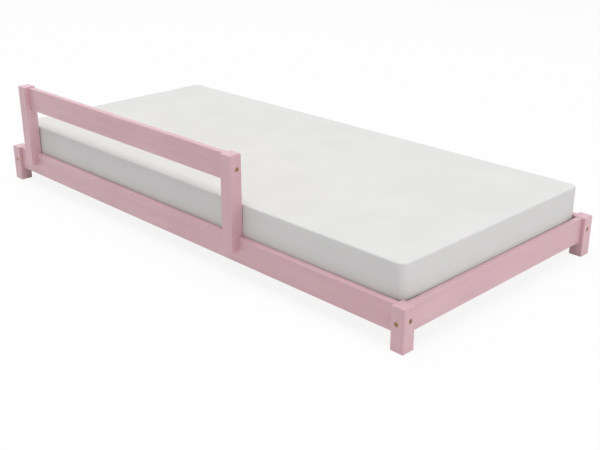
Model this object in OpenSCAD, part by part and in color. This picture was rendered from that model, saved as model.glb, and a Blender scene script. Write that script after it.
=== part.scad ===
// Low floor bed for a child: four short legs, four rails bolted to them, a slatted base,
// a mattress, and a guard frame that stands on the front side rail.
// The bed lies along X with its foot end at +X, its guard side at -Y and the floor at Z = 0.

/* [Mattress] */
// Length of the mattress
mattress_l = 2000; // [1600:10:2200]
// Width of the mattress
mattress_w = 908; // [700:1:1200]
// Thickness of the mattress, crown included
mattress_h = 145; // [90:1:200]
// Radius of the top and bottom edges
mattress_edge_r = 6; // [4:1:20]
// Rise of the top between its edges and its middle
mattress_crown = 3; // [1:1:15]
// How far the sides draw in at half height
mattress_draw = 2; // [0:0.5:6]

/* [Legs and rails] */
// Side of the square legs
leg_w = 47; // [44:1:52]
// Height of the legs
leg_h = 139; // [130:1:200]
// Height of the leg tops above the rails
leg_rise = 2; // [0:1:15]
// Thickness of the side and end rails
rail_t = 22; // [20:1:25]
// Height of the side and end rails
rail_h = 87; // [80:1:120]
// Distance from the outer leg faces in to the outer rail faces
rail_recess = 13; // [6:1:13]
// Gap between the mattress and the side rails
mattress_side_play = 3; // [2:1:20]
// Gap between the mattress and the end rails
mattress_end_play = 7; // [3:1:20]
// Gap between the mattress's round corners and the legs
mattress_leg_gap = 1.8; // [0.5:0.1:5]
// Radius of the softened edges of the posts and boards
edge_r = 3; // [1:0.5:5]

/* [Guard] */
// Length of the guard over its posts
guard_l = 1272; // [600:1:1500]
// Distance from the head-end leg face to the guard
guard_inset = 124; // [60:1:300]
// Side of the square guard posts
guard_post_w = 47; // [40:1:60]
// Height of the guard above the side rail
guard_rise = 275; // [200:1:350]
// Thickness of the guard's top board
guard_board_t = 22; // [20:1:25]
// Distance from the front faces of the posts back to the top board
guard_board_recess = 20; // [18:1:22]
// Height of the guard's top board
guard_board_h = 88; // [70:1:110]
// Height of the post tops above the top board
guard_post_rise = 4.5; // [0:0.5:20]
// How far the post tongues lap down over the side rail
tongue_lap = 45; // [32:1:60]

/* [Slatted base] */
// Depth of the slat tops below the rail tops
base_drop = 35; // [30:1:45]
// Width of a slat
slat_w = 70; // [50:1:90]
// Thickness of a slat
slat_t = 18; // [14:1:19]
// Gap between the end rails and the first and last slats
slat_end_gap = 62; // [45:1:90]
// Gap between the slat ends and the side rails
slat_play = 2; // [1:0.5:5]
// Width of the ledger strips under the slat ends
ledger_w = 25; // [20:1:35]
// Height of the ledger strips
ledger_h = 27; // [20:1:30]
// Gap between the ledger ends and the end rails
ledger_end_gap = 27; // [10:1:40]
// Width of the webbing tapes under the slats
tape_w = 30; // [20:1:50]
// Thickness of the webbing tapes
tape_t = 1.2; // [0.8:0.1:2]
// Distance from the slat ends to the tape middles
tape_inset = 156; // [80:1:300]
// Radius of the ledger edges
ledger_edge_r = 1; // [0.5:0.5:3]
// Radius of the slat edges
slat_edge_r = 2; // [0.5:0.5:4]

/* [Bolts and barrel nuts] */
// Diameter of the bolt shanks
bolt_d = 6; // [5:0.5:6]
// Diameter of the bolt heads
bolt_head_d = 14; // [12:0.5:17]
// Thickness of the bolt heads
bolt_head_h = 3; // [2.5:0.5:4]
// Width across the flats of the bolt sockets
socket_w = 5; // [4:0.5:6]
// Depth of the bolt sockets
socket_depth = 2.2; // [1.5:0.1:2.4]
// Depth of the bolt heads below the wood
bolt_sink = 1; // [0:0.5:3]
// Height of the side rail bolts above the bottom of the rails
side_bolt_up = 46; // [45:1:50]
// Height of the end rail bolts above the bottom of the rails
end_bolt_up = 36; // [33:1:37]
// Distance from the inner faces of the rails out to their bolts
rail_bolt_out = 8; // [8:0.5:11]
// Distance from the outer face of the top board in to the guard bolts
guard_bolt_in = 8; // [7.5:0.5:11]
// Height of the guard bolts above the middle of the top board
guard_bolt_rise = 0; // [0:1:6]
// Diameter of the barrel nuts
nut_d = 10; // [10:0.5:12]
// Length of the barrel nuts in the rails
rail_nut_l = 15; // [12:0.5:15.5]
// Length of the barrel nuts in the guard
guard_nut_l = 12; // [10:0.5:14]
// Distance from a rail's end to its barrel nut
nut_setback = 30; // [25:1:45]
// Length of bolt that passes the barrel nut's axis
bolt_past_nut = 8; // [6:1:12]

/* [Dowels and screws] */
// Diameter of the wooden dowels
dowel_d = 8; // [6:0.5:8]
// Length of the wooden dowels
dowel_l = 30; // [24:1:30]
// Distance from a board's edges to its dowels
dowel_edge = 16; // [13:1:18]
// Diameter of the ledger and slat screws
screw_d = 4; // [3:0.5:5]
// Diameter of the guard screws
guard_screw_d = 5; // [4:0.5:6]
// Wood left beyond the tips of the screws
screw_cover = 6; // [3:1:10]

/* [Clearances] */
// Gap all round a bolt shank in its bore
bolt_gap = 0.25; // [0.1:0.05:0.5]
// Gap all round a bolt head in its counterbore
head_gap = 0.5; // [0.2:0.1:1]
// Gap all round a barrel nut, a dowel or a screw
fit_gap = 0.1; // [0.05:0.05:0.3]
// Room beyond the tip of a bolt, a dowel or a screw
tip_gap = 1; // [0.5:0.5:2]
// Gap under the mattress
soft_gap = 0.3; // [0.2:0.1:1]

/* [Hidden] */
$fn = 48;
over = 1;
paint = [0.84, 0.64, 0.69];
pine = [0.86, 0.73, 0.54];
brass = [0.80, 0.62, 0.30];
zinc = [0.70, 0.71, 0.72];
cloth = [0.93, 0.93, 0.92];
webbing = [0.35, 0.35, 0.37];

// Frame
rail_top = leg_h - leg_rise;
rail_bottom = rail_top - rail_h;
rail_mid = rail_recess + rail_t / 2;
inner_l = mattress_l + 2 * mattress_end_play;
inner_w = mattress_w + 2 * mattress_side_play;
bed_l = inner_l + 2 * (rail_t + rail_recess);
bed_w = inner_w + 2 * (rail_t + rail_recess);
side_rail_l = bed_l - 2 * leg_w;
end_rail_l = bed_w - 2 * leg_w;
side_bolt_z = rail_bottom + side_bolt_up;
end_bolt_z = rail_bottom + end_bolt_up;
rail_bolt_depth = rail_recess + rail_t - rail_bolt_out;
rail_bolt_l = leg_w + nut_setback + bolt_past_nut;
bolt_seat = bolt_sink + bolt_head_h;
nut_slot_w = 1.2;
nut_slot_depth = 1;
screw_tip_d = 0.4;
RAIL_DOWEL_Z = [rail_bottom + dowel_edge, rail_top - dowel_edge];

// Guard
tongue_t = guard_post_w - rail_t;
guard_proud = tongue_t - rail_recess;
guard_face = bed_w / 2 + guard_proud;
guard_mid_x = -bed_l / 2 + guard_inset + guard_l / 2;
guard_top = rail_top + guard_rise;
guard_board_top = guard_top - guard_post_rise;
guard_board_z = guard_board_top - guard_board_h / 2;
guard_board_mid = guard_board_recess + guard_board_t / 2;
guard_bolt_depth = guard_board_recess + guard_bolt_in;
guard_bolt_z = guard_board_z + guard_bolt_rise;
GUARD_DOWEL_Z = [guard_board_top - guard_board_h + dowel_edge, guard_board_top - dowel_edge];
guard_board_l = guard_l - 2 * guard_post_w;
guard_bolt_l = guard_post_w + nut_setback + bolt_past_nut;
guard_screw_l = rail_t + tongue_t - screw_cover;
guard_screw_dx = guard_post_w / 5;
guard_screw_dz = tongue_lap / 4;

// Slatted base
slat_count = 14;
base_top = rail_top - base_drop;
slat_l = inner_w - 2 * slat_play;
slat_pitch = (inner_l - 2 * slat_end_gap - slat_w) / (slat_count - 1);
ledger_top = base_top - slat_t;
ledger_mid_z = ledger_top - ledger_h / 2;
ledger_l = inner_l - 2 * ledger_end_gap;
ledger_screw_l = ledger_w + rail_t - screw_cover;
slat_screw_l = slat_t + ledger_h - screw_cover;
tape_l = inner_l - 2 * slat_end_gap;

// Mattress: the legs reach in past its ends and sides, and its corners are round enough to clear them
leg_past_end = max(leg_w - rail_recess - rail_t - mattress_end_play, 0);
leg_past_side = max(leg_w - rail_recess - rail_t - mattress_side_play, 0);
corner_room = 2 * (leg_past_end + mattress_leg_gap) * (leg_past_side + mattress_leg_gap);
mattress_corner_r = leg_past_end + leg_past_side + mattress_leg_gap + sqrt(corner_room);
mattress_low = base_top + soft_gap;
mattress_high = mattress_low + mattress_h - mattress_crown;
corner_steps = 6;
side_steps = 4;
edge_steps = 3;
corner_fade = 0.4;
corner_least_r = 2;
CROWN_INSETS = [30, 80, 170, 300];

// Names
SLATS = [for (i = [1:slat_count]) str(i < 10 ? "slat_0" : "slat_", i)];

// The guard stands proud of the legs, so the bed moves back by half of that
// and its bounding box is centred on the origin.
module in_frame() {
    translate([0, guard_proud / 2, 0]) children();
}

// A rectangle with round corners
module round_rect(a, b, r) {
    translate([r, 0]) square([a - 2 * r, b]);
    translate([0, r]) square([a, b - 2 * r]);
    for (x = [r, a - r], y = [r, b - r]) translate([x, y]) circle(r);
}

// A post with all twelve edges softened
module soft_post(size, r) {
    intersection() {
        linear_extrude(size[2]) round_rect(size[0], size[1], r);
        rotate([90, 0, 90]) linear_extrude(size[0]) round_rect(size[1], size[2], r);
        translate([0, size[1], 0]) rotate([90, 0, 0])
            linear_extrude(size[1]) round_rect(size[0], size[2], r);
    }
}

// A board along X with its four long edges softened, centred on Y = 0 and Z = 0
module soft_board(length, t, h, r) {
    translate([-length / 2, -t / 2, -h / 2])
        rotate([90, 0, 90]) linear_extrude(length) round_rect(t, h, r);
}

// Places a piece modelled at the +X +Y corner at another corner
module at_corner(end, side) {
    mirror([end < 0 ? 1 : 0, 0, 0]) mirror([0, side < 0 ? 1 : 0, 0]) children();
}

// Joint frames: local Z runs from the outer face of the leg or post into the board,
// local X points into the bed, and depth is measured in from the outer face beside it.
module side_joint(depth, z) {
    translate([bed_l / 2, bed_w / 2 - depth, z]) rotate([90, 0, -90]) children();
}

module end_joint(depth, z) {
    translate([bed_l / 2 - depth, bed_w / 2, z]) rotate([-90, 0, 180]) children();
}

module guard_joint(end, depth, z) {
    translate([guard_mid_x, 0, 0]) mirror([end < 0 ? 1 : 0, 0, 0])
        translate([guard_l / 2, -guard_face + depth, z]) rotate([-90, 0, 90]) children();
}

// A bolt with a flat round head and a hexagon socket, its head's outer side towards -Z
module bolt(length) {
    difference() {
        union() {
            translate([0, 0, bolt_sink]) cylinder(d = bolt_head_d, h = bolt_head_h);
            translate([0, 0, bolt_sink]) cylinder(d = bolt_d, h = length - bolt_sink);
        }
        translate([0, 0, bolt_sink - over])
            cylinder(d = socket_w / cos(30), h = socket_depth + over, $fn = 6);
    }
}

module bolt_hole(length) {
    translate([0, 0, -over]) cylinder(d = bolt_head_d + 2 * head_gap, h = bolt_seat + over);
    cylinder(d = bolt_d + 2 * bolt_gap, h = length + tip_gap);
}

// A barrel nut across a board, cross-drilled for its bolt and slotted at its inner end
module barrel_nut(post_w, length) {
    translate([0, 0, post_w + nut_setback]) difference() {
        translate([-length / 2, 0, 0]) rotate([0, 90, 0]) cylinder(d = nut_d, h = length);
        translate([0, 0, -nut_d]) cylinder(d = bolt_d + 2 * fit_gap, h = 2 * nut_d);
        translate([length / 2 - nut_slot_depth, -nut_slot_w / 2, -nut_d])
            cube([nut_slot_depth + over, nut_slot_w, 2 * nut_d]);
    }
}

// Its blind hole opens on the board's inner face, which lies at reach from the bolt's axis
module barrel_nut_hole(post_w, length, reach) {
    bottom = length / 2 + fit_gap;
    translate([-bottom, 0, post_w + nut_setback])
        rotate([0, 90, 0]) cylinder(d = nut_d + 2 * fit_gap, h = bottom + reach + over);
}

// A dowel that lies half in the post and half in the board
module dowel(post_w) {
    translate([0, 0, post_w - dowel_l / 2]) cylinder(d = dowel_d, h = dowel_l);
}

module dowel_hole(post_w) {
    translate([0, 0, post_w - dowel_l / 2 - tip_gap])
        cylinder(d = dowel_d + 2 * fit_gap, h = dowel_l + 2 * tip_gap);
}

// A countersunk wood screw along +Z with its head's top at Z = 0
module wood_screw(d, length) {
    cylinder(d1 = 2 * d, d2 = d, h = d / 2);
    cylinder(d = d, h = length - d);
    translate([0, 0, length - d]) cylinder(d1 = d, d2 = screw_tip_d, h = d);
}

module wood_screw_hole(d, length) {
    wide = d + 2 * fit_gap;
    translate([0, 0, -over]) cylinder(d = 2 * d + 2 * fit_gap, h = over);
    cylinder(d1 = 2 * d + 2 * fit_gap, d2 = wide, h = d / 2);
    cylinder(d = wide, h = length + tip_gap);
}

// All that is cut for one joint, the same in the leg or post and in the board
module side_joint_cuts() {
    side_joint(rail_bolt_depth, side_bolt_z) {
        bolt_hole(rail_bolt_l);
        barrel_nut_hole(leg_w, rail_nut_l, rail_bolt_out);
    }
    for (z = RAIL_DOWEL_Z) side_joint(rail_mid, z) dowel_hole(leg_w);
}

module end_joint_cuts() {
    end_joint(rail_bolt_depth, end_bolt_z) {
        bolt_hole(rail_bolt_l);
        barrel_nut_hole(leg_w, rail_nut_l, rail_bolt_out);
    }
    for (z = RAIL_DOWEL_Z) end_joint(rail_mid, z) dowel_hole(leg_w);
}

module guard_joint_cuts(end) {
    guard_joint(end, guard_bolt_depth, guard_bolt_z) {
        bolt_hole(guard_bolt_l);
        barrel_nut_hole(guard_post_w, guard_nut_l, guard_board_t - guard_bolt_in);
    }
    for (z = GUARD_DOWEL_Z) guard_joint(end, guard_board_mid, z) dowel_hole(guard_post_w);
}

// Guard screws pass the front side rail from inside and end in the post tongues
module at_guard_screws(end) {
    for (k = [-1, 1])
        translate([
            guard_mid_x + end * (guard_l / 2 - guard_post_w / 2) + k * guard_screw_dx,
            -inner_w / 2,
            rail_top - tongue_lap / 2 + k * guard_screw_dz
        ]) rotate([90, 0, 0]) children();
}

// Ledger screws pass the ledger and end in the side rail, one in every second gap between slats
module at_ledger_screws(side) {
    for (gap = [1:2:slat_count - 1])
        mirror([0, side < 0 ? 1 : 0, 0])
            translate([(gap - slat_count / 2) * slat_pitch, inner_w / 2 - ledger_w, ledger_mid_z])
                rotate([-90, 0, 0]) children();
}

// Slat screws hold the first and the last slat down on both ledgers
module at_slat_screws(end, side) {
    translate([end * (tape_l - slat_w) / 2, side * (inner_w - ledger_w) / 2, base_top])
        rotate([180, 0, 0]) children();
}

module leg(end, side) {
    color(paint) at_corner(end, side) difference() {
        translate([bed_l / 2 - leg_w, bed_w / 2 - leg_w, 0]) soft_post([leg_w, leg_w, leg_h], edge_r);
        side_joint_cuts();
        end_joint_cuts();
    }
}

module side_rail(side) {
    color(paint) difference() {
        translate([0, side * (bed_w / 2 - rail_mid), rail_bottom + rail_h / 2])
            soft_board(side_rail_l, rail_t, rail_h, edge_r);
        for (end = [-1, 1]) at_corner(end, side) side_joint_cuts();
        at_ledger_screws(side) wood_screw_hole(screw_d, ledger_screw_l);
        if (side < 0) for (end = [-1, 1])
            at_guard_screws(end) wood_screw_hole(guard_screw_d, guard_screw_l);
    }
}

module end_rail(end) {
    color(paint) difference() {
        translate([end * (bed_l / 2 - rail_mid), 0, rail_bottom + rail_h / 2])
            rotate([0, 0, 90]) soft_board(end_rail_l, rail_t, rail_h, edge_r);
        for (side = [-1, 1]) at_corner(end, side) end_joint_cuts();
    }
}

// A guard post stands on the side rail, and its tongue laps over the rail's outer face
module guard_post(end) {
    color(paint) difference() {
        translate([
            guard_mid_x + end * (guard_l - guard_post_w) / 2 - guard_post_w / 2,
            -guard_face,
            rail_top - tongue_lap
        ]) soft_post([guard_post_w, guard_post_w, guard_top - rail_top + tongue_lap], edge_r);
        translate([guard_mid_x + end * guard_l / 2 - guard_post_w - over, -guard_face + tongue_t, 0])
            cube([2 * (guard_post_w + over), guard_post_w, rail_top]);
        guard_joint_cuts(end);
        at_guard_screws(end) wood_screw_hole(guard_screw_d, guard_screw_l);
    }
}

module guard_top_board() {
    color(paint) difference() {
        translate([guard_mid_x, -guard_face + guard_board_mid, guard_board_z])
            soft_board(guard_board_l, guard_board_t, guard_board_h, edge_r);
        for (end = [-1, 1]) guard_joint_cuts(end);
    }
}

module ledger(side) {
    color(pine) difference() {
        translate([0, side * (inner_w - ledger_w) / 2, ledger_mid_z])
            soft_board(ledger_l, ledger_w, ledger_h, ledger_edge_r);
        at_ledger_screws(side) wood_screw_hole(screw_d, ledger_screw_l);
        for (end = [-1, 1]) at_slat_screws(end, side) wood_screw_hole(screw_d, slat_screw_l);
    }
}

module slat(i) {
    color(pine) difference() {
        translate([(i - (slat_count + 1) / 2) * slat_pitch, 0, base_top - slat_t / 2])
            rotate([0, 0, 90]) soft_board(slat_l, slat_w, slat_t, slat_edge_r);
        if (i == 1 || i == slat_count)
            for (end = [-1, 1], side = [-1, 1])
                at_slat_screws(end, side) wood_screw_hole(screw_d, slat_screw_l);
    }
}

module slat_tape(side) {
    color(webbing)
        translate([-tape_l / 2, side * (slat_l / 2 - tape_inset) - tape_w / 2, ledger_top - tape_t])
            cube([tape_l, tape_w, tape_t]);
}

// The mattress is one closed skin of rings: each ring is a rounded rectangle,
// set in from the outline by inset and lifted to z.

function corner_arc(cx, cy, r, start) = [
    for (k = [0:corner_steps]) let (a = start + 90 * k / corner_steps) [cx + r * cos(a), cy + r * sin(a)]
];

function between(a, b) = [for (k = [1:side_steps - 1]) a + (b - a) * k / side_steps];

function outline(inset) = let (
    hx = mattress_l / 2 - inset,
    hy = mattress_w / 2 - inset,
    r = max(mattress_corner_r - inset * corner_fade, corner_least_r),
    arcs = [
        corner_arc(hx - r, hy - r, r, 0),
        corner_arc(-hx + r, hy - r, r, 90),
        corner_arc(-hx + r, -hy + r, r, 180),
        corner_arc(hx - r, -hy + r, r, 270)
    ]
) [
    for (c = [0:3]) each concat(arcs[c], between(arcs[c][corner_steps], arcs[(c + 1) % 4][0]))
];

RINGS = concat(
    [for (k = [0:edge_steps]) let (a = 90 * k / edge_steps)
        [mattress_edge_r * (1 - sin(a)), mattress_low + mattress_edge_r * (1 - cos(a))]],
    [[mattress_draw, (mattress_low + mattress_high) / 2]],
    [for (k = [0:edge_steps]) let (a = 90 * k / edge_steps)
        [mattress_edge_r * (1 - cos(a)), mattress_high - mattress_edge_r * (1 - sin(a))]],
    [for (d = CROWN_INSETS) let (u = d / (mattress_w / 2))
        [d, mattress_high + mattress_crown * (1 - (1 - u) * (1 - u))]]
);

module mattress() {
    n = len(outline(0));
    last = len(RINGS) - 1;
    points = concat(
        [for (ring = RINGS) for (p = outline(ring[0])) [p[0], p[1], ring[1]]],
        [[0, 0, mattress_low], [0, 0, mattress_low + mattress_h]]
    );
    walls = [for (j = [0:last - 1], i = [0:n - 1]) let (
        a = j * n + i,
        b = j * n + (i + 1) % n
    ) each [[a, a + n, b], [b, a + n, b + n]]];
    bottom = [for (i = [0:n - 1]) [n * (last + 1), i, (i + 1) % n]];
    top = [for (i = [0:n - 1]) [n * (last + 1) + 1, last * n + (i + 1) % n, last * n + i]];
    color(cloth) polyhedron(points, concat(walls, bottom, top));
}

module rail_bolts() {
    color(brass) for (end = [-1, 1], side = [-1, 1]) at_corner(end, side) {
        side_joint(rail_bolt_depth, side_bolt_z) bolt(rail_bolt_l);
        end_joint(rail_bolt_depth, end_bolt_z) bolt(rail_bolt_l);
    }
}

module rail_barrel_nuts() {
    color(zinc) for (end = [-1, 1], side = [-1, 1]) at_corner(end, side) {
        side_joint(rail_bolt_depth, side_bolt_z) barrel_nut(leg_w, rail_nut_l);
        end_joint(rail_bolt_depth, end_bolt_z) barrel_nut(leg_w, rail_nut_l);
    }
}

module rail_dowels() {
    color(pine) for (end = [-1, 1], side = [-1, 1], z = RAIL_DOWEL_Z) at_corner(end, side) {
        side_joint(rail_mid, z) dowel(leg_w);
        end_joint(rail_mid, z) dowel(leg_w);
    }
}

module guard_bolts() {
    color(brass) for (end = [-1, 1]) guard_joint(end, guard_bolt_depth, guard_bolt_z) bolt(guard_bolt_l);
}

module guard_barrel_nuts() {
    color(zinc) for (end = [-1, 1])
        guard_joint(end, guard_bolt_depth, guard_bolt_z) barrel_nut(guard_post_w, guard_nut_l);
}

module guard_dowels() {
    color(pine) for (end = [-1, 1], z = GUARD_DOWEL_Z)
        guard_joint(end, guard_board_mid, z) dowel(guard_post_w);
}

module guard_screws() {
    color(zinc) for (end = [-1, 1]) at_guard_screws(end) wood_screw(guard_screw_d, guard_screw_l);
}

module ledger_screws() {
    color(zinc) for (side = [-1, 1]) at_ledger_screws(side) wood_screw(screw_d, ledger_screw_l);
}

module slat_screws() {
    color(zinc) for (end = [-1, 1], side = [-1, 1])
        at_slat_screws(end, side) wood_screw(screw_d, slat_screw_l);
}

in_frame() leg(-1, -1);  // leg_head_front
in_frame() leg(-1, 1);  // leg_head_back
in_frame() leg(1, -1);  // leg_foot_front
in_frame() leg(1, 1);  // leg_foot_back
in_frame() side_rail(-1);  // side_rail_front
in_frame() side_rail(1);  // side_rail_back
in_frame() end_rail(-1);  // end_rail_head
in_frame() end_rail(1);  // end_rail_foot
in_frame() guard_post(-1);  // guard_post_head
in_frame() guard_post(1);  // guard_post_middle
in_frame() guard_top_board();
in_frame() ledger(-1);  // ledger_front
in_frame() ledger(1);  // ledger_back
for (i = [1:slat_count]) in_frame() slat(i);
in_frame() slat_tape(-1);  // slat_tape_front
in_frame() slat_tape(1);  // slat_tape_back
in_frame() mattress();
in_frame() rail_bolts();
in_frame() rail_barrel_nuts();
in_frame() rail_dowels();
in_frame() guard_bolts();
in_frame() guard_barrel_nuts();
in_frame() guard_dowels();
in_frame() guard_screws();
in_frame() ledger_screws();
in_frame() slat_screws();
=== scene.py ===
"""Looks for the low floor bed: paint over grain, bare pine, plated bolts and a soft mattress."""

import math

import bpy
import numpy as np
from mathutils import Matrix, Vector

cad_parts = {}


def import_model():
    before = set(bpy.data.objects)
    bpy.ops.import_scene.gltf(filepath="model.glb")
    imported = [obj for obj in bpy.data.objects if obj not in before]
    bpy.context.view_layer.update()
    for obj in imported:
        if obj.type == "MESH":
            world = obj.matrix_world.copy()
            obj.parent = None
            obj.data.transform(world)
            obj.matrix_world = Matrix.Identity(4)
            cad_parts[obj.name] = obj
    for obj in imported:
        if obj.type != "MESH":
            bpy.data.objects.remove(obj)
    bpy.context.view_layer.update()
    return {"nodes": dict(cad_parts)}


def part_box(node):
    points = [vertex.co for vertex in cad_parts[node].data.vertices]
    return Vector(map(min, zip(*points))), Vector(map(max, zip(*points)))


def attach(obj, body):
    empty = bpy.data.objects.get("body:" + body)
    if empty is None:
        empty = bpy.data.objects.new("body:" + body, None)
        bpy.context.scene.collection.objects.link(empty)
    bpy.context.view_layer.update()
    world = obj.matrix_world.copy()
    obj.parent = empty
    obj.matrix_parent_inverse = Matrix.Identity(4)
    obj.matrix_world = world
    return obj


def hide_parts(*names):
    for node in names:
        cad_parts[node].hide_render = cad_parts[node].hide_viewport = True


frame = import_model()
NODES = frame["nodes"]
MM = 0.001
FRAME_BODY = "frame"
MATTRESS_BODY = "mattress"
WHITE = (1.0, 1.0, 1.0, 1.0)

# Camera: the photograph's view
CAMERA_AT = (2.4158, -2.2332, 1.2747)
CAMERA_AIM = (0.3311, -0.1753, 0.0905)
CAMERA_LENS = 55.86
SENSOR_WIDTH = 36.0
CAMERA_REACH = 200.0


def point_at(thing, at, aim):
    """Puts a camera or lamp at a place and turns it towards another."""
    thing.location = at
    thing.rotation_mode = "QUATERNION"
    thing.rotation_quaternion = (Vector(aim) - Vector(at)).to_track_quat("-Z", "Y")


scene = bpy.context.scene
camera = bpy.data.objects.new("camera", bpy.data.cameras.new("camera"))
scene.collection.objects.link(camera)
scene.camera = camera
camera.data.sensor_width = SENSOR_WIDTH
camera.data.lens = CAMERA_LENS
camera.data.clip_end = CAMERA_REACH
point_at(camera, CAMERA_AT, CAMERA_AIM)


class Shader:
    """A material's node tree, with short calls that add and join nodes."""

    def __init__(self, name):
        self.material = bpy.data.materials.new(name)
        self.material.use_nodes = True
        self.tree = self.material.node_tree
        self.bsdf = self.tree.nodes["Principled BSDF"]

    def node(self, kind, **settings):
        made = self.tree.nodes.new("ShaderNode" + kind)
        for name, value in settings.items():
            setattr(made, name, value)
        return made

    def put(self, socket, value):
        """Links value to the socket if it is another node's socket, and sets it otherwise."""
        if isinstance(value, bpy.types.NodeSocket):
            self.tree.links.new(value, socket)
        elif value is not None:
            socket.default_value = value

    def math(self, operation, a, b=None, c=None, clamp=False):
        made = self.node("Math", operation=operation, use_clamp=clamp)
        for socket, value in zip(made.inputs, (a, b, c)):
            self.put(socket, value)
        return made.outputs[0]

    def place(self):
        """Where a point is on the object, in metres, in the object's own frame."""
        return self.node("TexCoord").outputs["Object"]

    def split(self, vector):
        """The three parts of a vector."""
        made = self.node("SeparateXYZ")
        self.put(made.inputs[0], vector)
        return made.outputs

    def stretched(self, vector, scale, offset=(0.0, 0.0, 0.0)):
        made = self.node("Mapping")
        self.put(made.inputs["Vector"], vector)
        made.inputs["Scale"].default_value = scale
        made.inputs["Location"].default_value = offset
        return made.outputs[0]

    def noise(self, vector, scale=1.0, detail=2.0, roughness=0.5, distortion=0.0):
        made = self.node("TexNoise")
        self.put(made.inputs["Vector"], vector)
        made.inputs["Scale"].default_value = scale
        made.inputs["Detail"].default_value = detail
        made.inputs["Roughness"].default_value = roughness
        made.inputs["Distortion"].default_value = distortion
        return made.outputs[0]

    def between(self, value, low, high, to_low=0.0, to_high=1.0):
        """Maps low to to_low and high to to_high, smoothly and held at the ends."""
        made = self.node("MapRange", interpolation_type="SMOOTHSTEP")
        self.put(made.inputs["Value"], value)
        self.put(made.inputs["From Min"], low)
        self.put(made.inputs["From Max"], high)
        self.put(made.inputs["To Min"], to_low)
        self.put(made.inputs["To Max"], to_high)
        return made.outputs[0]

    def mix(self, factor, a, b):
        """A blend of two colours. The node has its sockets once for each kind of data, and those
        for colour are inputs 6 and 7 and output 2."""
        made = self.node("Mix", data_type="RGBA")
        for index, value in ((0, factor), (6, a), (7, b)):
            self.put(made.inputs[index], value)
        return made.outputs[2]

    def bump(self, height, distance, strength):
        made = self.node("Bump")
        made.inputs["Strength"].default_value = strength
        made.inputs["Distance"].default_value = distance
        self.put(made.inputs["Height"], height)
        return made.outputs[0]

    def edges(self, radius):
        """Near 0 on flat faces and up to 1 on an edge sharper than the radius."""
        bevel = self.node("Bevel", samples=4)
        bevel.inputs["Radius"].default_value = radius
        dot = self.node("VectorMath", operation="DOT_PRODUCT")
        self.put(dot.inputs[0], bevel.outputs[0])
        self.put(dot.inputs[1], self.node("NewGeometry").outputs["Normal"])
        return self.math("SUBTRACT", 1.0, dot.outputs["Value"], clamp=True)

    def waves(self, value, length):
        """A sine of a socket's value with a half wave of the given length."""
        return self.math("SINE", self.math("MULTIPLY", value, math.pi / length))

    def finish(self, color, roughness, normal=None, **sockets):
        self.put(self.bsdf.inputs["Base Color"], color)
        self.put(self.bsdf.inputs["Roughness"], roughness)
        self.put(self.bsdf.inputs["Normal"], normal)
        for name, value in sockets.items():
            self.bsdf.inputs[name.replace("_", " ")].default_value = value
        return self.material


def srgb(*color):
    """A colour written in 8-bit sRGB, as linear RGBA."""
    linear = [c / 255 / 12.92 if c <= 10 else ((c / 255 + 0.055) / 1.055) ** 2.4 for c in color]
    return (*linear, 1.0)


def along(axis, across, length):
    """A texture scale, in features per metre, across the grain and along its axis."""
    return tuple(length if k == axis else across for k in range(3))


PINK = srgb(224, 185, 192)
PINK_DEEP = srgb(219, 177, 185)
PINK_GRAIN = srgb(209, 164, 173)
PINK_RUBBED_AND_HIGHLIGHT = srgb(234, 204, 206)
PINE_EARLY = srgb(236, 214, 176)
PINE_LATE = srgb(208, 168, 118)
PINE_KNOT = srgb(120, 78, 48)
BRASS = srgb(188, 153, 104)
BRASS_DARK = srgb(142, 106, 70)
BRASS_PAINTED_SHADE = srgb(62, 40, 30)
ZINC = srgb(182, 184, 186)
ZINC_DARK = srgb(140, 142, 146)
ZINC_PAINTED_SHADE = srgb(80, 80, 84)
BEECH = srgb(212, 176, 134)
BEECH_DARK = srgb(186, 146, 102)
WEB = srgb(92, 92, 96)
WEB_FUZZ_AND_WEAVE_SHADE = srgb(58, 58, 62)
COVER = srgb(233, 233, 232)
COVER_CLOUD_AND_STITCH_SHADE = srgb(229, 229, 228)
# Painted shade for the cover's sides: darker copies of the cover colours
SIDE_PAINTED_SHADE = srgb(225, 225, 224)
SIDE_PAINTED_SHADE_DEEP = srgb(221, 222, 221)

# Texture scales, in features per metre, across the grain and along it
FIGURE = (46.0, 2.6)
PORES = (620.0, 16.0)
WANDER = (9.0, 1.1)
FIBRES = (900.0, 14.0)
KNOTS = (6.5, 3.0)

# The log that a board is cut from: where its middle lies off the board, how far the middle
# wanders, its rings per metre, and how far the cuts of a row of boards differ, across them in
# pitches and in depth in metres
LOG_PLACE = (-0.09, -0.16)
LOG_WANDER = (0.05, 0.03)
LOG_RINGS = 190.0
CUT_ACROSS = 0.9
CUT_DEEP = 0.05

# Rubbed edges with a painted highlight, painted shade in hollows, tape and knit
RUB_AND_HIGHLIGHT_RADIUS = 2.5 * MM
PAINTED_SHADE_REACH = 4 * MM
WEB_RIB = 1.6 * MM
WEB_YARN = 1.1 * MM
KNIT_WALE = 1.3 * MM
KNIT_COURSE = 1.0 * MM


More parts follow.
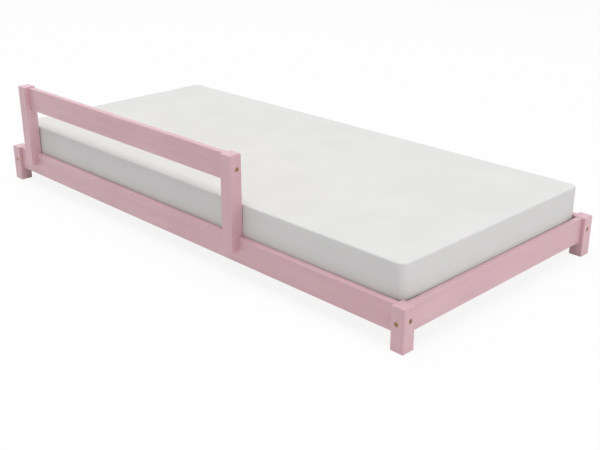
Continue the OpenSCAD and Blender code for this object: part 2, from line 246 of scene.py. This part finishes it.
def paint(name, grain):
    """Satin paint on planed pine: the grain only just shows, and the edges are lighter, partly
    from a little rubbed wear and partly from a painted highlight.
    """
    s = Shader(name)
    place = s.place()
    broad = s.noise(place, scale=3.2)
    figure = s.noise(
        s.stretched(place, along(grain, *FIGURE)), detail=3.0, roughness=0.55, distortion=0.5
    )
    pores = s.noise(s.stretched(place, along(grain, *PORES)))
    stipple = s.noise(place, scale=520.0, roughness=0.6)
    color = s.mix(s.between(broad, 0.32, 0.68), PINK, PINK_DEEP)
    color = s.mix(s.between(figure, 0.35, 0.7, 0.0, 0.45), color, PINK_GRAIN)
    color = s.mix(s.between(pores, 0.52, 0.72, 0.0, 0.35), color, PINK_GRAIN)
    # Lighter edges: partly rubbed wear, and partly a painted highlight on the rounded edges
    patches = s.between(s.noise(place, scale=38.0, detail=3.0), 0.45, 0.7)
    rub_and_highlight = s.math("MULTIPLY", s.edges(RUB_AND_HIGHLIGHT_RADIUS), patches)
    color = s.mix(s.math("MULTIPLY", rub_and_highlight, 0.9, clamp=True), color, PINK_RUBBED_AND_HIGHLIGHT)
    height = s.math("ADD", s.math("MULTIPLY", figure, 0.6), s.math("MULTIPLY", pores, 0.3))
    height = s.math("ADD", height, s.math("MULTIPLY", stipple, 0.25))
    roughness = s.between(s.noise(place, scale=24.0, detail=3.0), 0.3, 0.7, 0.40, 0.52)
    normal = s.bump(height, 0.35 * MM, 0.7)
    return s.finish(color, roughness, normal, Coat_Weight=0.45, Coat_Roughness=0.3)


def bare_wood(name, grain, early, late, knots=True, pitch=0.0):
    """Planed wood: growth rings cut along the board, fibres, and a few knots. With a pitch, the
    boards lie in a row, and each is cut from its own place in the log."""
    s = Shader(name)
    place = s.place()
    wander = s.noise(s.stretched(place, along(grain, *WANDER)))
    parts = s.split(place)
    u, v = (parts[k] for k in range(3) if k != grain)
    if pitch:
        count = s.math("DIVIDE", u, pitch)
        index = s.math("FLOOR", count)
        random = s.node("TexWhiteNoise", noise_dimensions="1D")
        s.put(random.inputs["W"], index)
        chance = random.outputs["Value"]
        shift = s.math("MULTIPLY_ADD", chance, CUT_ACROSS, -CUT_ACROSS / 2)
        u = s.math("MULTIPLY", s.math("ADD", s.math("SUBTRACT", count, index), shift), pitch)
        v = s.math("ADD", v, s.math("MULTIPLY", chance, CUT_DEEP))
    # The log's middle lies off the board, and wanders along it
    u = s.math("ADD", u, s.math("MULTIPLY_ADD", wander, LOG_WANDER[0], LOG_PLACE[0]))
    v = s.math("ADD", v, s.math("MULTIPLY_ADD", wander, LOG_WANDER[1], LOG_PLACE[1]))
    radius = s.math("SQRT", s.math("ADD", s.math("MULTIPLY", u, u), s.math("MULTIPLY", v, v)))
    # Each ring darkens slowly and ends sharply
    ring = s.math("FRACT", s.math("MULTIPLY", radius, LOG_RINGS))
    rise = s.between(ring, 0.25, 0.85)
    fall = s.between(ring, 0.88, 1.0, 1.0, 0.0)
    late_share = s.math("MULTIPLY", s.math("MULTIPLY", rise, fall), 0.62)
    fibres = s.noise(s.stretched(place, along(grain, *FIBRES)))
    color = s.mix(late_share, early, late)
    color = s.mix(s.between(fibres, 0.3, 0.75, 0.0, 0.18), color, late)
    color = s.mix(s.between(s.noise(place, scale=4.0), 0.3, 0.7, 0.0, 0.16), color, late)
    if knots:
        cells = s.node("TexVoronoi", feature="F1")
        spread = s.stretched(place, along(grain, *KNOTS), offset=(0.37, 0.11, 0.53))
        s.put(cells.inputs["Vector"], spread)
        cells.inputs["Scale"].default_value = 1.0
        knot = s.between(cells.outputs["Distance"], 0.035, 0.075, 1.0, 0.0)
        color = s.mix(s.math("MULTIPLY", knot, 0.8), color, PINE_KNOT)
    height = s.math("ADD", s.math("MULTIPLY", late_share, 0.8), s.math("MULTIPLY", fibres, 0.5))
    roughness = s.between(fibres, 0.3, 0.7, 0.55, 0.72)
    return s.finish(color, roughness, s.bump(height, 0.2 * MM, 0.6))


def plated(name, base, dark, painted_hollow_shade, smoothest, roughest):
    """Plated steel: fine turning marks, cloudy plating, and painted shade that darkens the
    hollows.
    """
    s = Shader(name)
    place = s.place()
    clouds = s.noise(place, scale=160.0, detail=3.0, roughness=0.6)
    color = s.mix(s.between(clouds, 0.35, 0.75, 0.0, 0.5), base, dark)
    # Painted shade: the colour darkens where ambient occlusion finds the surface closed in, as in
    # sockets and recesses
    openness = s.node("AmbientOcclusion", samples=8)
    openness.inputs["Distance"].default_value = PAINTED_SHADE_REACH
    color = s.mix(s.between(openness.outputs["AO"], 0.25, 0.85, 1.0, 0.0), color, painted_hollow_shade)
    marks = s.noise(place, scale=2600.0)
    roughness = s.between(clouds, 0.3, 0.7, smoothest, roughest)
    return s.finish(color, roughness, s.bump(marks, 0.02 * MM, 0.4), Metallic=1.0)


def webbing(name):
    """A woven tape: weft ribs across it, warp yarns along it with painted shade at the weave's low
    points, and a little fuzz.
    """
    s = Shader(name)
    place = s.place()
    x, y, _ = s.split(place)
    ribs = s.math("ABSOLUTE", s.waves(x, WEB_RIB))
    yarns = s.math("ABSOLUTE", s.waves(y, WEB_YARN))
    weave = s.math("MULTIPLY", ribs, yarns)
    fuzz = s.noise(place, scale=700.0)
    # Painted shade: darker where the weave's bump is low, between the ribs and yarns
    color = s.mix(s.between(weave, 0.1, 0.8), WEB_FUZZ_AND_WEAVE_SHADE, WEB)
    color = s.mix(s.between(fuzz, 0.4, 0.8, 0.0, 0.4), color, WEB_FUZZ_AND_WEAVE_SHADE)
    height = s.math("ADD", weave, s.math("MULTIPLY", fuzz, 0.4))
    return s.finish(color, 0.85, s.bump(height, 0.25 * MM, 0.9), Sheen_Weight=0.2)


def knitted(name):
    """A plain white knitted cover: fine courses and wales with painted shade in the stitches' low
    points, a slow cloudiness, and painted shade that makes the sides darker than the top and
    bottom."""
    s = Shader(name)
    place = s.place()
    x, y, z = s.split(place)
    wales = s.waves(s.math("ADD", y, z), KNIT_WALE)
    courses = s.waves(s.math("ADD", x, s.math("MULTIPLY", z, 0.5)), KNIT_COURSE)
    stitch = s.math("ABSOLUTE", s.math("MULTIPLY", wales, courses))
    fuzz = s.noise(place, scale=900.0, detail=3.0, roughness=0.6)
    clouds = s.noise(place, scale=5.5, detail=3.0, roughness=0.55)
    # Painted shade: the sides, where the normal lies near level, take a darker copy of the cover
    # colour than the top and bottom
    facing = s.split(s.node("TexCoord").outputs["Normal"])
    flat = s.between(s.math("ABSOLUTE", facing[2]), 0.45, 0.8)
    cloudy = s.between(clouds, 0.3, 0.7)
    panel = s.mix(cloudy, COVER, COVER_CLOUD_AND_STITCH_SHADE)
    painted_shade_sides = s.mix(cloudy, SIDE_PAINTED_SHADE, SIDE_PAINTED_SHADE_DEEP)
    color = s.mix(flat, painted_shade_sides, panel)
    shade = s.mix(flat, SIDE_PAINTED_SHADE_DEEP, COVER_CLOUD_AND_STITCH_SHADE)
    # Painted shade: darker towards the stitches' low points, where the knit's bump is lowest
    color = s.mix(s.between(stitch, 0.0, 0.6, 0.35, 0.0), color, shade)
    height = s.math("ADD", stitch, s.math("MULTIPLY", fuzz, 0.5))
    roughness = s.between(fuzz, 0.3, 0.7, 0.82, 0.95)
    normal = s.bump(height, 0.12 * MM, 0.6)
    return s.finish(color, roughness, normal, Sheen_Weight=0.15, Specular_IOR_Level=0.3)


SLATS = sorted(name for name in NODES if name.removeprefix("slat_").isdigit())
LEGS = [name for name in NODES if name.startswith("leg_")]
POSTS = [name for name in NODES if name.startswith("guard_post_")]
SLAT_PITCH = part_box(SLATS[1])[0].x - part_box(SLATS[0])[0].x

X, Y, Z = range(3)
paint_x = paint("pink_paint_along_x", X)
paint_y = paint("pink_paint_along_y", Y)
paint_z = paint("pink_paint_along_z", Z)
pine_x = bare_wood("pine_along_x", X, PINE_EARLY, PINE_LATE)
pine_y = bare_wood("pine_along_y", Y, PINE_EARLY, PINE_LATE, pitch=SLAT_PITCH)
beech = bare_wood("beech", X, BEECH, BEECH_DARK, knots=False)
brass = plated("yellow_plating", BRASS, BRASS_DARK, BRASS_PAINTED_SHADE, smoothest=0.26, roughest=0.42)
zinc = plated("zinc_plating", ZINC, ZINC_DARK, ZINC_PAINTED_SHADE, smoothest=0.34, roughest=0.5)
web = webbing("woven_tape")
cover = knitted("knitted_cover")

for material, names in (
    (paint_x, ["side_rail_front", "side_rail_back", "guard_top_board"]),
    (paint_y, ["end_rail_head", "end_rail_foot"]),
    (paint_z, LEGS + POSTS),
    (pine_x, ["ledger_front", "ledger_back"]),
    (pine_y, SLATS),
    (beech, ["rail_dowels", "guard_dowels"]),
    (zinc, ["rail_barrel_nuts", "guard_barrel_nuts"]),
    (web, ["slat_tape_front", "slat_tape_back"]),
    (cover, ["mattress"]),
):
    for name in names:
        NODES[name].data.materials.clear()
        NODES[name].data.materials.append(material)


def new_piece(name, vertices, faces, material, body, smooth=True):
    mesh = bpy.data.meshes.new(name)
    mesh.from_pydata([tuple(v) for v in vertices], [], faces)
    mesh.validate()
    if smooth:
        mesh.shade_smooth()
    else:
        mesh.shade_flat()
    mesh.materials.append(material)
    piece = bpy.data.objects.new(name, mesh)
    scene.collection.objects.link(piece)
    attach(piece, body)
    return piece


# Bolts and screws
SAME_POINT = 1e-6
WIDEST_SHARE = 0.98
BOLT_SIDES = 48
SCREW_SIDES = 64
SHARP_ANGLE = math.radians(32)
SHANK_R = 3 * MM
HEAD_H = 3 * MM
SOCKET_FLAT = 2.5 * MM
SOCKET_DEEP = 2.2 * MM
SOCKET_POINT = 0.5 * MM
SOCKET_RINGS = 3
RECESS_TAPER = 0.45


def islands(node):
    """The separate solids of a CAD node, each as an array of its points in metres."""
    points = np.array([v.co for v in NODES[node].data.vertices])
    keys = np.round(points / SAME_POINT).astype(np.int64)
    _, spot = np.unique(keys, axis=0, return_inverse=True)
    spot = np.asarray(spot).ravel()
    parent = list(range(spot.max() + 1))

    def root(i):
        while parent[i] != i:
            parent[i] = parent[parent[i]]
            i = parent[i]
        return i

    for edge in NODES[node].data.edges:
        a, b = (root(spot[i]) for i in edge.vertices)
        parent[a] = b
    roots = np.array([root(i) for i in spot])
    return [points[roots == r] for r in sorted(set(roots.tolist()))]


def fastener_frame(points):
    """A fastener's own frame, with its origin at the head's outer centre and Z into the wood,
    and its length and head radius, from its points."""
    low, high = points.min(0), points.max(0)
    axis = int(np.argmax(high - low))
    middle = (low + high) / 2
    radial = np.delete(points - middle, axis, 1)
    spread = np.hypot(radial[:, 0], radial[:, 1])
    widest = points[spread > spread.max() * WIDEST_SHARE, axis].mean()
    at_high = abs(widest - high[axis]) < abs(widest - low[axis])
    start, way = middle.copy(), np.zeros(3)
    start[axis] = high[axis] if at_high else low[axis]
    way[axis] = -1.0 if at_high else 1.0
    length = high[axis] - low[axis]
    turn = Vector(way).to_track_quat("Z", "X").to_matrix().to_4x4()
    return Matrix.Translation(Vector(start)) @ turn, length, spread.max()


def lathe(rings, sides, shape):
    """Points and faces of a closed turned form. The rings are (radius, depth), and a centre
    point closes each end. shape(ring number, angle, radius, depth) gives each point's own
    radius and depth."""
    points, faces = [], []
    for i, (radius, depth) in enumerate(rings):
        for k in range(sides):
            angle = 2 * math.pi * k / sides
            r, d = shape(i, angle, radius, depth)
            points.append((r * math.cos(angle), r * math.sin(angle), d))
    for i in range(len(rings) - 1):
        for k in range(sides):
            a, b = i * sides + k, i * sides + (k + 1) % sides
            faces.append((a, b, b + sides, a + sides))
    points += [(0, 0, rings[0][1]), (0, 0, rings[-1][1])]
    first, last = len(points) - 2, len(points) - 1
    base = (len(rings) - 1) * sides
    for k in range(sides):
        faces.append((first, (k + 1) % sides, k))
        faces.append((last, base + k, base + (k + 1) % sides))
    return np.array(points), faces


def bolt_form(length, head_r):
    """A flat round head with a rounded rim and a hexagon socket, a plain shank and a chamfered
    tip, in metres."""
    # From the socket's bottom over the rim to the tip, as (radius, depth)
    rings = [
        (SOCKET_FLAT, SOCKET_DEEP), (SOCKET_FLAT, 0.35 * MM), (SOCKET_FLAT + 0.3 * MM, 0.06 * MM),
        (3.7 * MM, 0.0), (head_r - 1.1 * MM, 0.05 * MM), (head_r - 0.5 * MM, 0.22 * MM),
        (head_r - 0.15 * MM, 0.55 * MM), (head_r, 1.0 * MM), (head_r, HEAD_H - 0.2 * MM),
        (head_r - 0.2 * MM, HEAD_H), (SHANK_R + 0.3 * MM, HEAD_H), (SHANK_R, HEAD_H + 0.3 * MM),
        (SHANK_R, length - 1.0 * MM), (SHANK_R - 0.8 * MM, length),
    ]

    def shape(i, angle, radius, depth):
        if i < SOCKET_RINGS:
            off = (angle % (math.pi / 3)) - math.pi / 6
            radius = radius / math.cos(off)
        return radius, depth

    points, faces = lathe(rings, BOLT_SIDES, shape)
    points[-2, 2] = SOCKET_DEEP + SOCKET_POINT
    return points, faces


def screw_form(length, head_r):
    """A countersunk head with a cross recess, and a slim shank with a point, in metres."""
    core = head_r / 2
    arm, reach, deep = 0.17 * head_r, 0.62 * head_r, 0.42 * head_r
    shares = (0.08, 0.16, 0.22, 0.3, 0.4, 0.5, 0.58, 0.64, 0.72, 0.86, 0.97)
    top = [(head_r * share, 0.0) for share in shares]
    rings = top + [
        (head_r, 0.08 * MM), (core, head_r / 2), (core, length - head_r), (0.2 * MM, length)
    ]

    def shape(i, angle, radius, depth):
        if i < len(top):
            x, y = abs(radius * math.cos(angle)), abs(radius * math.sin(angle))
            if min(x, y) < arm and max(x, y) < reach:
                depth = deep * (1 - max(x, y) / reach * RECESS_TAPER)
        return radius, depth

    points, faces = lathe(rings, SCREW_SIDES, shape)
    points[-2, 2] = deep
    return points, faces


def fasteners(name, node, form):
    """One piece with a detailed bolt or screw in the place of each solid of the node."""
    points, faces = [], []
    for solid in islands(node):
        matrix, length, head_r = fastener_frame(solid)
        own, own_faces = form(length, head_r)
        start = len(points)
        points += [matrix @ Vector(p) for p in own]
        faces += [tuple(start + i for i in f) for f in own_faces]
    piece = new_piece(name, points, faces, brass, FRAME_BODY)
    piece.data.set_sharp_from_angle(angle=SHARP_ANGLE)
    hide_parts(node)


fasteners("rail_bolts_turned", "rail_bolts", bolt_form)
fasteners("guard_bolts_turned", "guard_bolts", bolt_form)
fasteners("guard_screws_recessed", "guard_screws", screw_form)
fasteners("ledger_screws_recessed", "ledger_screws", screw_form)
fasteners("slat_screws_recessed", "slat_screws", screw_form)

# Staples: the crown's width, the legs' length, the wire's width and thickness, and its bend
STAPLE_CROWN = 11 * MM
STAPLE_LEG = 7 * MM
STAPLE_WIDE = 1.2 * MM
STAPLE_THICK = 0.7 * MM
STAPLE_BEND = 1.0 * MM


def staples():
    """A staple across each tape at each slat: a flat crown and two legs up into the slat."""
    # The wire's middle line from one leg's tip over the crown to the other, as (across, up)
    side, bend = -STAPLE_CROWN / 2, STAPLE_BEND
    line = [(side, STAPLE_LEG), (side, bend), (side + 0.3 * bend, 0.3 * bend), (side + bend, 0.0)]
    line += [(-across, up) for across, up in reversed(line)]
    points, faces = [], []
    for tape in ("slat_tape_front", "slat_tape_back"):
        low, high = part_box(tape)
        y, z = (low.y + high.y) / 2, low.z - STAPLE_THICK / 2
        for slat in SLATS:
            slat_low, slat_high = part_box(slat)
            x = (slat_low.x + slat_high.x) / 2
            start = len(points)
            for i, (across, up) in enumerate(line):
                a, b = line[max(i - 1, 0)], line[min(i + 1, len(line) - 1)]
                run = Vector((b[0] - a[0], b[1] - a[1])).normalized()
                out = (-run.y * STAPLE_THICK / 2, run.x * STAPLE_THICK / 2)
                for sx, sn in ((-1, -1), (1, -1), (1, 1), (-1, 1)):
                    points.append(
                        (x + sx * STAPLE_WIDE / 2, y + across + sn * out[0], z + up + sn * out[1])
                    )
            for i in range(len(line) - 1):
                for k in range(4):
                    a, b = start + 4 * i + k, start + 4 * i + (k + 1) % 4
                    faces.append((a + 4, b + 4, b, a))
            last = start + 4 * (len(line) - 1)
            faces.append((start, start + 1, start + 2, start + 3))
            faces.append((last + 3, last + 2, last + 1, last))
    new_piece("tape_staples", points, faces, zinc, FRAME_BODY, smooth=False)


staples()

# The mattress: a firm foam block in a knitted cover
CORNER_R = 27.9 * MM
CORNER_ANGLES = (8, 16, 23.5, 30.5)
EDGE_R = 6 * MM
EDGE_ANGLES = (0, 22.5, 45)
SIDE_ANGLES = (67.5, 90)
CROWN = 3 * MM
CROWN_ACROSS = 2.2
CROWN_ALONG = 7
DRAW = 0.5 * MM
DRAW_SHAPE = 0.8
CELL = 22 * MM

# Its cloth simulation
HELD = 5 * MM
HALF_HELD_WEIGHT = 0.4
CLOTH_FRAMES = 14
CLOTH = {
    "quality": 4,
    "mass": 0.3,
    "tension_stiffness": 30,
    "compression_stiffness": 30,
    "shear_stiffness": 15,
    "bending_stiffness": 4,
    "use_pressure": True,
    "uniform_pressure_force": 0.07,
}
SWELL_CAP = 2.4 * MM
CORNER_CAP = 0.7 * MM
CORNER_ZONE = 90 * MM
RISE_SHARE = 0.15
LEAN = (4.6 * MM, 1.4 * MM)
LEAN_BAND = ((5 * MM, 25 * MM, 42 * MM, 85 * MM), (0, 1, 1, 0))
TINY = 1e-9


def grid_lines(half):
    """Grid positions across the mattress: close together over the corners and edges, and even
    between them."""
    flat = half - CORNER_R
    count = max(1, round(flat / CELL))
    lines = [flat * k / count for k in range(count + 1)]
    lines += [flat + CORNER_R * math.tan(math.radians(a)) for a in CORNER_ANGLES]
    lines += [half - EDGE_R * (1 - math.sin(math.radians(a))) for a in EDGE_ANGLES]
    return np.array([-v for v in reversed(lines[1:])] + lines)


def plan(x, y, half, inset=None):
    """Moves a point of the square grid on to the plan with round corners, and gives its distance
    to the edge. With an inset, it moves a point of the rim to that distance."""
    inner = (half[0] - CORNER_R, half[1] - CORNER_R)
    q = (min(max(x, -inner[0]), inner[0]), min(max(y, -inner[1]), inner[1]))
    d = (x - q[0], y - q[1])
    reach = max(abs(d[0]), abs(d[1]))
    if reach < TINY:
        return x, y, min(half[0] - abs(x), half[1] - abs(y))
    wanted = reach if inset is None else CORNER_R - inset
    scale = wanted / math.hypot(*d)
    return q[0] + d[0] * scale, q[1] + d[1] * scale, CORNER_R - wanted


def edge_point(a):
    """How far in from the side and up from the bottom the round edge lies at an angle."""
    return EDGE_R * (1 - math.sin(math.radians(a))), EDGE_R * (1 - math.cos(math.radians(a)))


def mattress_mesh(low, high):
    """Points and faces of the cover at rest: top and bottom grids, with rows of points down the
    sides between them."""
    half = ((high.x - low.x) / 2, (high.y - low.y) / 2)
    centre = ((high.x + low.x) / 2, (high.y + low.y) / 2)
    bottom, top = low.z, high.z - CROWN
    xs, ys = grid_lines(half[0]), grid_lines(half[1])
    nx, ny = len(xs), len(ys)
    points, faces = [], []

    def drop(inset):
        if inset >= EDGE_R:
            return 0.0
        return EDGE_R - math.sqrt(max(EDGE_R**2 - (EDGE_R - inset) ** 2, 0.0))

    def crown(x, y):
        across = 1 - abs(y / half[1]) ** CROWN_ACROSS
        return CROWN * across * (1 - abs(x / half[0]) ** CROWN_ALONG)

    def face_grid(z, up):
        start = len(points)
        for y in ys:
            for x in xs:
                px, py, inset = plan(x, y, half)
                rise = crown(px, py) if up > 0 else 0.0
                points.append((centre[0] + px, centre[1] + py, z - up * drop(inset) + rise))
        for j in range(ny - 1):
            for i in range(nx - 1):
                a = start + j * nx + i
                quad = (a, a + 1, a + nx + 1, a + nx)
                faces.append(quad if up > 0 else quad[::-1])
        return start

    top_start = face_grid(top, 1)
    bottom_start = face_grid(bottom, -1)
    loop = [(i, 0) for i in range(nx)] + [(nx - 1, j) for j in range(1, ny)]
    loop += [(i, ny - 1) for i in range(nx - 2, -1, -1)] + [(0, j) for j in range(ny - 2, 0, -1)]

    def join(above, below):
        for k in range(len(loop)):
            after = (k + 1) % len(loop)
            faces.append((above[k], below[k], below[after], above[after]))

    # The rows down the side, as (inset, height)
    tall = top - bottom
    straight = tall - 2 * EDGE_R
    rows = [(inset, tall - down) for inset, down in map(edge_point, SIDE_ANGLES)]
    steps = round(straight / CELL)
    for k in range(1, steps):
        t = k / steps
        draw = DRAW * math.sin(math.pi * t) ** DRAW_SHAPE
        rows.append((draw, tall - EDGE_R - t * straight))
    rows += map(edge_point, reversed(SIDE_ANGLES))
    above = [top_start + j * nx + i for i, j in loop]
    for inset, up in rows:
        below = list(range(len(points), len(points) + len(loop)))
        for i, j in loop:
            px, py, _ = plan(xs[i], ys[j], half, inset)
            points.append((centre[0] + px, centre[1] + py, bottom + up))
        join(above, below)
        above = below
    join(above, [bottom_start + j * nx + i for i, j in loop])
    return points, faces


def swell(piece, low, high):
    """Blows the cover up a little with a cloth simulation, held at its bottom. No point swells
    by more than a cap, and less at the corners, where the legs are. Then the sides lean out to
    the rails."""
    rest = np.array([v.co for v in piece.data.vertices])
    height = rest[:, 2] - low.z
    into = [np.minimum(rest[:, k] - low[k], high[k] - rest[:, k]) for k in (0, 1)]
    held = piece.vertex_groups.new(name="held")
    half_held = (height >= HELD) & (height < 2 * HELD)
    for weight, rows in ((1.0, height < HELD), (HALF_HELD_WEIGHT, half_held)):
        held.add([int(i) for i in np.flatnonzero(rows)], weight, "REPLACE")

    cloth = piece.modifiers.new("cloth", "CLOTH")
    for name, value in CLOTH.items():
        setattr(cloth.settings, name, value)
    cloth.settings.effector_weights.gravity = 0
    cloth.settings.vertex_group_mass = held.name
    scene.frame_start, scene.frame_end = 1, CLOTH_FRAMES
    for number in range(1, CLOTH_FRAMES + 1):
        scene.frame_set(number)
    evaluated = piece.evaluated_get(bpy.context.evaluated_depsgraph_get())
    step = np.array([v.co for v in evaluated.data.vertices]) - rest
    piece.modifiers.remove(cloth)
    piece.vertex_groups.remove(held)
    scene.frame_set(1)

    # A soft cap: small moves stay as they are, and large ones level off
    caps = (CORNER_CAP, SWELL_CAP)
    cap = np.interp(np.maximum(*into), (CORNER_R, CORNER_ZONE), caps)[:, None]
    size = np.linalg.norm(step, axis=1, keepdims=True)
    step *= cap * np.tanh(size / cap) / np.maximum(size, TINY)
    step[:, 2] *= RISE_SHARE
    # At the rails' height the ends and sides lean on the rails, and keep off the legs
    for k in (0, 1):
        lean = LEAN[k] * np.interp(height, *LEAN_BAND)
        lean *= np.interp(into[k], (DRAW, EDGE_R), (1, 0))
        lean *= np.interp(into[1 - k], (CORNER_R, CORNER_ZONE), (0, 1))
        step[:, k] += lean * np.sign(rest[:, k] - (low[k] + high[k]) / 2)
    piece.data.vertices.foreach_set("co", (rest + step).astype(np.float32).ravel())
    piece.data.update()


low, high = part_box("mattress")
points, faces = mattress_mesh(low, high)
mattress = new_piece("mattress_in_cover", points, faces, cover, MATTRESS_BODY)
swell(mattress, low, high)
fine = mattress.modifiers.new("fine", "SUBSURF")
fine.levels = fine.render_levels = 1
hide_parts("mattress")

# Floor, world and lamps
FLOOR_SIZE = 60.0
FLOOR_WHITE = 0.95
FLOOR_ROUGHNESS = 0.9
FLOOR_SHOWN = 0.12
WORLD_STRENGTH = 0.39
LAMP_AIM = (0.2, 0.0, 0.1)


def seen_share(tree):
    """1 for rays from the camera, also by way of gloss and glass, and 0 for rays that light."""
    path = tree.nodes.new("ShaderNodeLightPath")
    seen = path.outputs["Is Camera Ray"]
    for name in ("Is Glossy Ray", "Is Transmission Ray"):
        most = tree.nodes.new("ShaderNodeMath")
        most.operation = "MAXIMUM"
        tree.links.new(seen, most.inputs[0])
        tree.links.new(path.outputs[name], most.inputs[1])
        seen = most.outputs[0]
    return seen


def blend_shaders(tree, factor, a, b):
    mixed = tree.nodes.new("ShaderNodeMixShader")
    if isinstance(factor, bpy.types.NodeSocket):
        tree.links.new(factor, mixed.inputs[0])
    else:
        mixed.inputs[0].default_value = factor
    tree.links.new(a, mixed.inputs[1])
    tree.links.new(b, mixed.inputs[2])
    return mixed.outputs[0]


def floor():
    """A pale floor that the camera sees as near white, with a soft shadow of the bed on it."""
    s = Shader("floor")
    pale = (FLOOR_WHITE, FLOOR_WHITE, FLOOR_WHITE, 1.0)
    s.finish(pale, FLOOR_ROUGHNESS, Specular_IOR_Level=0.0)
    glow = s.node("Emission")
    glow.inputs["Strength"].default_value = 1.0
    shown = blend_shaders(s.tree, 1 - FLOOR_SHOWN, s.bsdf.outputs[0], glow.outputs[0])
    final = blend_shaders(s.tree, seen_share(s.tree), s.bsdf.outputs[0], shown)
    s.tree.links.new(final, s.tree.nodes["Material Output"].inputs["Surface"])
    h = FLOOR_SIZE / 2
    mesh = bpy.data.meshes.new("floor")
    mesh.from_pydata([(-h, -h, 0), (h, -h, 0), (h, h, 0), (-h, h, 0)], [], [(0, 1, 2, 3)])
    mesh.materials.append(s.material)
    plane = bpy.data.objects.new("floor", mesh)
    scene.collection.objects.link(plane)


def world():
    """A soft even light all round, which the camera sees as white."""
    made = bpy.data.worlds.new("studio")
    scene.world = made
    made.use_nodes = True
    tree = made.node_tree
    tree.nodes.clear()
    seen = seen_share(tree)
    lit, white = (tree.nodes.new("ShaderNodeBackground") for _ in range(2))
    lit.inputs["Strength"].default_value = WORLD_STRENGTH
    lit.inputs["Color"].default_value = WHITE
    white.inputs["Color"].default_value = WHITE
    mixed = blend_shaders(tree, seen, lit.outputs[0], white.outputs[0])
    tree.links.new(mixed, tree.nodes.new("ShaderNodeOutputWorld").inputs[0])


def lamp(name, at, aim, size, energy):
    data = bpy.data.lights.new(name, "AREA")
    data.shape = "RECTANGLE"
    data.size, data.size_y = size
    data.energy = energy
    made = bpy.data.objects.new(name, data)
    scene.collection.objects.link(made)
    point_at(made, at, aim)
    made.visible_camera = False


floor()
world()
lamp("key", at=(0.3, -0.7, 12.0), aim=LAMP_AIM, size=(8.0, 8.0), energy=780.0)
lamp("left", at=(-6.5, 0.0, 9.5), aim=LAMP_AIM, size=(6.0, 6.0), energy=155.0)
lamp("right", at=(9.0, 0.8, 2.4), aim=(0.3, 0.0, 0.15), size=(5.0, 4.0), energy=142.0)
scene.view_settings.view_transform = "Standard"
